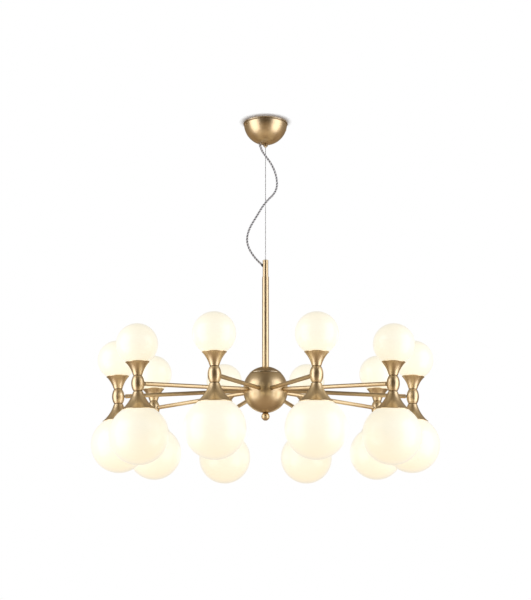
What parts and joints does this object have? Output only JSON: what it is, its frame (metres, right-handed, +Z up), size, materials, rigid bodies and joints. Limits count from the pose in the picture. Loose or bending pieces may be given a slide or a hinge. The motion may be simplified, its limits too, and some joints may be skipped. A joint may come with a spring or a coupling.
{
  "type": "multi arm chandelier",
  "caption": "Ring chandelier hung on a rope: satin brass hub with radial arms, each ending in a turned head with a small opal globe above and a large one below.",
  "frame": {"origin": "on the ceiling plane, at the middle of the two fixing slots, which is the axis of the canopy and the stem", "axes": "+Z up along the stem's axis, X along the line of the fixing slots"},
  "size_m": [0.8922, 0.8554, 0.9403],
  "materials": {
    "satin_brass": "satin brushed, clear lacquered",
    "plated_steel": "zinc plated",
    "rope_steel": "stranded bright wire",
    "clear_jacket": "clear jacket over twisted tinned conductors",
    "clear_bush": "clear",
    "dark_rubber": "matte",
    "connector_plastic": "moulded",
    "holder_white": "white glazed",
    "lamp_glass": "frosted",
    "opal_glass": "satin opal"
  },
  "bodies": {
    "root": {"ceiling_plate": "plated_steel", "canopy_bowl": "satin_brass", "canopy_side_screws": "satin_brass", "gripper_body": "satin_brass", "gripper_nut": "plated_steel", "gripper_spring": "plated_steel", "cord_bush": "clear_bush", "terminal_block": "connector_plastic"},
    "plunger": {"gripper_plunger": "satin_brass"},
    "suspension": {"steel_rope": "rope_steel", "rope_stop": "plated_steel", "power_cord": "clear_jacket", "stem_head": "satin_brass", "stem_grommet": "dark_rubber", "swivel_nut": "plated_steel"},
    "pendant": {"swivel_plug": "plated_steel", "stem_tube": "satin_brass", "stem_foot": "plated_steel", "hub_carrier": "plated_steel", "hub_upper_shell": "satin_brass", "hub_lower_shell": "satin_brass", "hub_top_cap": "satin_brass", "hub_connectors": "connector_plastic", "finial": "satin_brass", "arm_nipples": "plated_steel", "head_barrels": "satin_brass", "upper_trumpets": "satin_brass", "lower_trumpets": "satin_brass", "lampholders": "holder_white", "lamps": "lamp_glass", "arm_01": "satin_brass", "arm_02": "satin_brass", "arm_03": "satin_brass", "arm_04": "satin_brass", "arm_05": "satin_brass", "arm_06": "satin_brass", "arm_07": "satin_brass", "arm_08": "satin_brass", "arm_09": "satin_brass", "arm_10": "satin_brass", "upper_globe_01": "opal_glass", "upper_globe_02": "opal_glass", "upper_globe_03": "opal_glass", "upper_globe_04": "opal_glass", "upper_globe_05": "opal_glass", "upper_globe_06": "opal_glass", "upper_globe_07": "opal_glass", "upper_globe_08": "opal_glass", "upper_globe_09": "opal_glass", "upper_globe_10": "opal_glass", "lower_globe_01": "opal_glass", "lower_globe_02": "opal_glass", "lower_globe_03": "opal_glass", "lower_globe_04": "opal_glass", "lower_globe_05": "opal_glass", "lower_globe_06": "opal_glass", "lower_globe_07": "opal_glass", "lower_globe_08": "opal_glass", "lower_globe_09": "opal_glass", "lower_globe_10": "opal_glass"}
  },
  "joints": [
    {"name": "height_adjust", "type": "slide", "parent": "root", "child": "suspension", "axis": [0, 0, 1], "range_m": [-0.03, 0.15], "deforming": ["steel_rope", "power_cord"]},
    {"name": "stem_swivel", "type": "hinge", "parent": "suspension", "child": "pendant", "pos_m": [0, 0, -0.427], "axis": [0, 0, 1], "range_deg": [-165, 165]},
    {"name": "gripper_release", "type": "slide", "parent": "root", "child": "plunger", "axis": [0, 0, 1], "range_m": [0, 0.0025], "stiffness_N_per_m": 600, "springref_m": -0.002, "deforming": ["gripper_spring"]}
  ]
}
